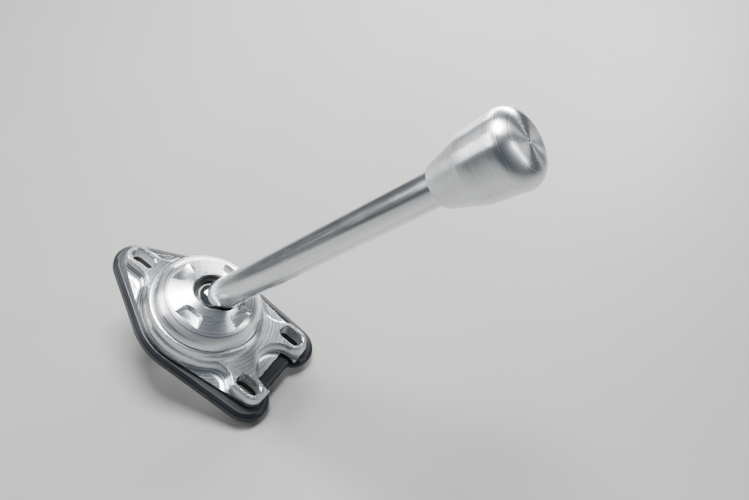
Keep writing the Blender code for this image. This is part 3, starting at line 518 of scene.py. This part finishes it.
def pocket_cutter(heading):
    """An end-milled pocket with a level floor and sloped walls, narrower towards the mouth."""
    deselect()
    middle = POCKET_MIDDLE * MM
    bpy.ops.mesh.primitive_cube_add(size=1, location=(middle, 0, (pocket_floor + POCKET_BLOCK / 2) * MM),
                                    scale=(POCKET_LENGTH * MM, POCKET_WIDTH * MM, POCKET_BLOCK * MM))
    tool = bpy.context.object
    bpy.ops.object.transform_apply(location=True, rotation=False, scale=True)
    start_edit(tool)
    near_floor = (pocket_floor + 0.1) * MM
    near_top = (pocket_floor + POCKET_BLOCK - 0.1) * MM
    tall = POCKET_BLOCK / 2 * MM
    select_vertices(tool, lambda p: p.x > middle)
    bpy.ops.transform.resize(value=(1, POCKET_OUTER_WIDTH / POCKET_WIDTH, 1), center_override=(0, 0, 0))
    select_vertices(tool, lambda p: p.x < middle)
    bpy.ops.transform.resize(value=(1, POCKET_INNER_WIDTH / POCKET_WIDTH, 1), center_override=(0, 0, 0))
    select_edges(tool, lambda a, b: a.x < middle and b.x < middle and abs(a.z - b.z) > tall)
    bpy.ops.mesh.bevel(offset=POCKET_INNER_CORNER * MM, segments=6, affect="EDGES")
    select_edges(tool, lambda a, b: a.x > middle and b.x > middle and abs(a.z - b.z) > tall)
    bpy.ops.mesh.bevel(offset=POCKET_OUTER_CORNER * MM, segments=3, affect="EDGES")
    select_vertices(tool, lambda p: p.z < near_floor)
    bpy.ops.transform.resize(value=(POCKET_FLOOR_SHARE, POCKET_FLOOR_SHARE, 1),
                             center_override=(middle, 0, 0))
    select_vertices(tool, lambda p: p.z > near_top)
    bpy.ops.mesh.extrude_region_move(TRANSFORM_OT_translate={"value": (0, 0, POCKET_RISE * MM)})
    select_edges(tool, lambda a, b: a.z < near_floor and b.z < near_floor)
    bpy.ops.mesh.bevel(offset=POCKET_FLOOR_EDGE * MM, segments=3, affect="EDGES")
    bpy.ops.object.mode_set(mode="OBJECT")
    return settle(tool, Matrix.Rotation(heading, 4, "Z"))


def finish_pockets(cap, material):
    """Gives the milled floors and walls of the pockets their own finish."""
    cap.data.materials.append(material)
    start_edit(cap)
    bpy.ops.mesh.select_mode(type="FACE")
    bpy.ops.mesh.select_all(action="DESELECT")
    bpy.ops.object.mode_set(mode="OBJECT")
    nearest, farthest = POCKET_BAND
    for face in cap.data.polygons:
        out = math.hypot(face.center.x, face.center.y) / MM
        dome = cap_top - (out - RIM_R) * math.tan(DOME_SLOPE)
        sunk = pocket_floor - POCKET_BELOW < face.center.z / MM < dome - POCKET_UNDER
        face.select = nearest < out < farthest and sunk
    bpy.ops.object.mode_set(mode="EDIT")
    cap.active_material_index = 1
    bpy.ops.object.material_slot_assign()
    bpy.ops.object.mode_set(mode="OBJECT")


def select_vertices(obj, wanted):
    """In edit mode, selects the vertices at wanted places."""
    bpy.ops.mesh.select_mode(type="VERT")
    bpy.ops.mesh.select_all(action="DESELECT")
    bpy.ops.object.mode_set(mode="OBJECT")
    for vertex in obj.data.vertices:
        vertex.select = wanted(vertex.co)
    bpy.ops.object.mode_set(mode="EDIT")


def select_edges(obj, wanted):
    """In edit mode, selects the edges whose two ends are at wanted places."""
    bpy.ops.mesh.select_mode(type="EDGE")
    bpy.ops.mesh.select_all(action="DESELECT")
    bpy.ops.object.mode_set(mode="OBJECT")
    points = obj.data.vertices
    for edge in obj.data.edges:
        edge.select = wanted(points[edge.vertices[0]].co, points[edge.vertices[1]].co)
    bpy.ops.object.mode_set(mode="EDIT")


def lever_sweep():
    """The room that the lever's lower end sweeps, with its clearance, as one hull."""
    radius = SHAFT_R + SWEEP_ROOM
    low = SHAFT_START - SWEEP_ROOM
    deselect()
    bars = []
    for back in (-lean_forward, lean_back / 2, lean_back):
        for across in (lean_across - gate_travel, lean_across - gate_travel / 2, lean_across):
            turn = Matrix.Rotation(-across, 4, "X") @ Matrix.Rotation(back, 4, "Y")
            middle = pivot + turn @ Vector((0, 0, (low + FAR) / 2 * MM))
            bpy.ops.mesh.primitive_cylinder_add(vertices=64, radius=radius * MM, depth=(FAR - low) * MM,
                                                location=middle, rotation=turn.to_euler())
            bars.append(bpy.context.object)
    for bar in bars:
        bar.select_set(True)
    bpy.ops.object.join()
    sweep = bpy.context.object
    sweep.name = "lever_sweep"
    start_edit(sweep)
    bpy.ops.mesh.convex_hull()
    bpy.ops.object.mode_set(mode="OBJECT")
    return settle(sweep)


def round_ball(radius, degrees):
    """(radius, height) of the point on a sphere about the pivot, so far down from its top."""
    turn = math.radians(degrees)
    return (radius * math.sin(turn), pivot_height + radius * math.cos(turn))


def make_mouth():
    """The upper seat: its cone is the dark ring inside the cap's mouth."""
    inner = [round_ball(BALL_R + GAP, degrees) for degrees in (88.5, 80, 71, 62, 55, 49, 43.5)]
    outer = [round_ball(CAVITY_R - GAP, degrees) for degrees in (47, 52, 58, 64, 70, 73.5)]
    lip = (11.85, 31.45)
    flange_r = SKIRT_INNER_R - GAP
    profile = inner + [lip] + outer + [(flange_r, SEAT_CEILING - GAP), (flange_r, inner[0][1])]
    seat = lathe("black_seat", profile, tube=True, spokes=128)
    cut(seat, lever_sweep())
    deselect()
    bpy.ops.mesh.primitive_cube_add(size=1, location=pivot,
                                    scale=[side * MM for side in PIN_ROOM])
    cut(seat, settle(bpy.context.object))
    return smooth(seat, 30)


def make_lever_pieces():
    """The bar, knob and ball, turned upright by their distance from the pivot, then leant with the lever."""
    socket_r, socket_top = 7.4, 13.0
    eased_end = [(8.5, SHAFT_START), (9.1, 10.9), (9.45, 11.3), (SHAFT_R, 11.8)]
    shaft = lathe("lever_bar", [
        (STUD_HOLE_R, socket_top), (socket_r, socket_top), (socket_r, SHAFT_START), *eased_end,
        (SHAFT_R, 60), (SHAFT_R, 120), (SHAFT_R, SHAFT_END - 0.5), (9.0, SHAFT_END),
        (KNOB_STUD_HOLE_R, SHAFT_END), (KNOB_STUD_HOLE_R, KNOB_STUD_HOLE_FLOOR), (CENTRE_R, 168.0),
        (CENTRE_R, STUD_HOLE_END + 1.0), (STUD_HOLE_R, STUD_HOLE_END),
    ], tube=True, spokes=128)
    finish_piece(smooth(settle(shaft, LEVER), 30), "lever", drawn_bar, "shaft")
    bore = SHAFT_R + GAP
    corner = (KNOB_R - KNOB_CORNER, KNOB_END - KNOB_CORNER)
    cone = [(11.9, KNOB_START), (12.45, 181.3), (12.7, 181.8), (14.9, 189.4), (17.0, 196.6), (18.55, 201.7)]
    grip = [(18.72, 202.2), (19.2, 208), (19.7, 214), (20.2, 219), (KNOB_R, corner[1])]
    knob = lathe("turned_knob", [
        (bore, KNOB_START), *cone, *grip, *arc(corner, KNOB_CORNER, 6, 90, 16),
        (4.0, KNOB_END), (CENTRE_R, KNOB_END), (CENTRE_R, 215.0),
        (KNOB_STUD_HOLE_R, KNOB_STUD_HOLE_END), (KNOB_STUD_HOLE_R, SHAFT_END + GAP), (bore, SHAFT_END + GAP),
    ], tube=True, spokes=160)
    close_centre(knob, KNOB_END - 0.8)
    finish_piece(smooth(settle(knob, LEVER), 30), "lever", turned_knob, "knob")
    ball = lathe("lapped_ball", [
        (STUD_HOLE_R, STUD_HOLE_FLOOR), *arc((0, 0), BALL_R, 70, -70, 40), (STUD_HOLE_R, -STUD_HOLE_FLOOR),
    ], spokes=96)
    finish_piece(smooth(settle(ball, LEVER), 30), "lever", lapped_ball, "pivot_ball")


def close_centre(obj, above):
    """Draws the ring round the axis at the end face in to a point."""
    start_edit(obj)
    select_vertices(obj, lambda p: p.z > above * MM and math.hypot(p.x, p.y) < (CENTRE_R + 0.2) * MM)
    bpy.ops.mesh.merge(type="CENTER")
    bpy.ops.object.mode_set(mode="OBJECT")


dome = finish_piece(make_cap(), "base", turned_dome, "cap")
finish_pockets(dome, milled_pocket)
finish_piece(make_mouth(), "base", turned_acetal, "upper_ball_seat")
finish_piece(eased_copy("billet_housing", "housing"), "base", milled_housing, "housing")
finish_piece(eased_copy("black_base", "base_plate"), "base", black_plate, "base_plate")
make_lever_pieces()

finishes = {
    "lower_ball_seat": turned_acetal, "spring_washer": spring_steel, "cap_o_ring": nitrile,
    "base_screw_1": ground_steel, "base_screw_2": ground_steel, "base_screw_3": ground_steel,
    "cross_pin": ground_steel, "pin_slipper_1": turned_bronze, "pin_slipper_2": turned_bronze,
    "shaft_stud": ground_steel, "knob_stud": ground_steel, "lower_arm": ground_steel,
    "arm_lock_nut": ground_steel, "tip_bush": turned_nylon,
}
for name, finish in finishes.items():
    kept = frame["nodes"][name].data.materials
    kept.clear()
    kept.append(finish)


# ---------------------------------------------------------------- floor, light and camera

def resting_plane():
    """Normal and offset of the level that the object lies on: its base's edge and the lower arm's tip."""
    edge = Vector((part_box("base_plate")[1][0], 0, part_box("base_plate")[0][2]))
    low, high = (Vector(corner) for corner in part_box("tip_bush"))
    tip = Vector(((low.x + high.x) / 2, 0, low.z))
    tilt = math.atan2(edge.z - tip.z, edge.x - tip.x)
    normal = Vector((-math.sin(tilt), 0, math.cos(tilt)))
    lowest = min(normal.dot(piece.matrix_world @ vertex.co)
                 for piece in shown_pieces() for vertex in piece.data.vertices)
    return normal, lowest - 0.2 * MM


def painted_floor():
    """Pale painted concrete, rolled flat: nearly even, with a soft sheen, and not there from below."""
    material, tree, shader = start_material("pale_painted_floor", 0.0)
    at = own_frame(tree, UPRIGHT)
    cloud = node(tree, "ShaderNodeTexNoise", {"Vector": at, "Scale": 9.0, "Detail": 5.0}).outputs["Fac"]
    tint = node(tree, "ShaderNodeMix", {"Factor": cloud, COLOUR_A: srgb("#8E8E8C"),
                                        COLOUR_B: srgb("#969694")}, data_type="RGBA").outputs[COLOUR_OUT]
    tree.links.new(tint, shader.inputs["Base Color"])
    shader.inputs["Roughness"].default_value = 0.55
    below = node(tree, "ShaderNodeNewGeometry").outputs["Backfacing"]
    clear = node(tree, "ShaderNodeBsdfTransparent").outputs[0]
    both = node(tree, "ShaderNodeMixShader", {0: below, 1: shader.outputs[0], 2: clear}).outputs[0]
    tree.links.new(both, tree.nodes["Material Output"].inputs["Surface"])
    return material


def make_floor():
    normal, offset = resting_plane()
    deselect()
    bpy.ops.mesh.primitive_plane_add(size=30, location=normal * offset,
                                     rotation=normal.to_track_quat("Z", "Y").to_euler())
    floor = settle(bpy.context.object)
    floor.name = "floor"
    floor.data.materials.append(painted_floor())
    floor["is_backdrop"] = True


def add_softbox(name, place, aim, size, power):
    light = bpy.data.lights.new(name, "AREA")
    light.shape = "RECTANGLE"
    light.size, light.size_y = size
    light.energy = power
    lamp = bpy.data.objects.new(name, light)
    lamp.location = place
    lamp.rotation_euler = (Vector(aim) - Vector(place)).to_track_quat("-Z", "Y").to_euler()
    bpy.context.collection.objects.link(lamp)


def make_studio():
    world = bpy.data.worlds.new("soft_studio")
    world.use_nodes = True
    sky = world.node_tree.nodes["Background"]
    sky.inputs["Color"].default_value = srgb("#6E7780")
    sky.inputs["Strength"].default_value = 0.55
    bpy.context.scene.world = world
    middle = Vector((0.04, 0.02, 0.08))    # of the object, in metres
    add_softbox("key_softbox", middle + Vector((-0.50, 0.15, 0.85)), middle, (0.5, 0.42), 27)
    add_softbox("zenith_strip", middle + Vector((0.50, 0.50, 0.80)), middle, (0.12, 0.6), 3)
    add_softbox("back_strip", middle + Vector((-0.14, 0.95, 0.26)), middle, (0.30, 0.16), 8)
    add_softbox("low_back_strip", middle + Vector((-0.60, 0.80, 0.05)), middle, (0.8, 0.12), 9)
    add_softbox("left_strip", middle + Vector((-0.80, -0.40, 0.20)), middle, (0.5, 0.14), 5)


def make_camera():
    camera = bpy.data.cameras.new("camera")
    camera.lens = 42.3
    camera.sensor_width = 36
    stand = (0.08665, -0.29312, 0.46547)
    holder = bpy.data.objects.new("camera", camera)
    right = Vector((0.785, 0.482, 0.389)).normalized()
    back = Vector((0.052, -0.677, 0.734))
    back = (back - right * back.dot(right)).normalized()
    up = back.cross(right)
    aim = Matrix((right, up, back)).transposed().to_4x4()
    holder.matrix_world = Matrix.Translation(stand) @ aim
    bpy.context.collection.objects.link(holder)
    bpy.context.scene.camera = holder


make_floor()
make_studio()
make_camera()
